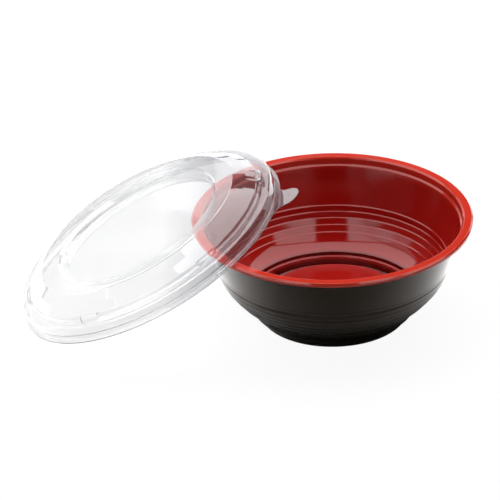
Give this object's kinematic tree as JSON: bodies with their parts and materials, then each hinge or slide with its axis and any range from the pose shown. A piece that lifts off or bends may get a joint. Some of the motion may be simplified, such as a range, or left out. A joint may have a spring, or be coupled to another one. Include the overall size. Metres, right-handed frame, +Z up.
{
  "type": "takeout bowl with lid",
  "caption": "Round takeout bowl, black outside and glossy red inside, with a stepped belly, and a clear domed lid with a pull tab leaning on its rim.",
  "frame": {"origin": "centre of the whole footprint of bowl and leaning lid, on the table", "axes": "+X from the lid towards the bowl, +Y away from the viewer, +Z up along the bowl's axis"},
  "size_m": [0.2986, 0.1972, 0.0972],
  "materials": {
    "black_plastic": "satin black sheet",
    "red_plastic": "glossy red sheet",
    "clear_plastic": "clear glossy sheet"
  },
  "bodies": {
    "bowl": {"bowl_outer_layer": "black_plastic", "bowl_inner_layer": "red_plastic"},
    "lid": {"clear_lid": "clear_plastic"}
  },
  "joints": [
    {"name": "lid_lift", "type": "slide", "parent": "bowl", "child": "lid", "axis": [0, 0, 1], "range_m": [0, 0.12]}
  ]
}
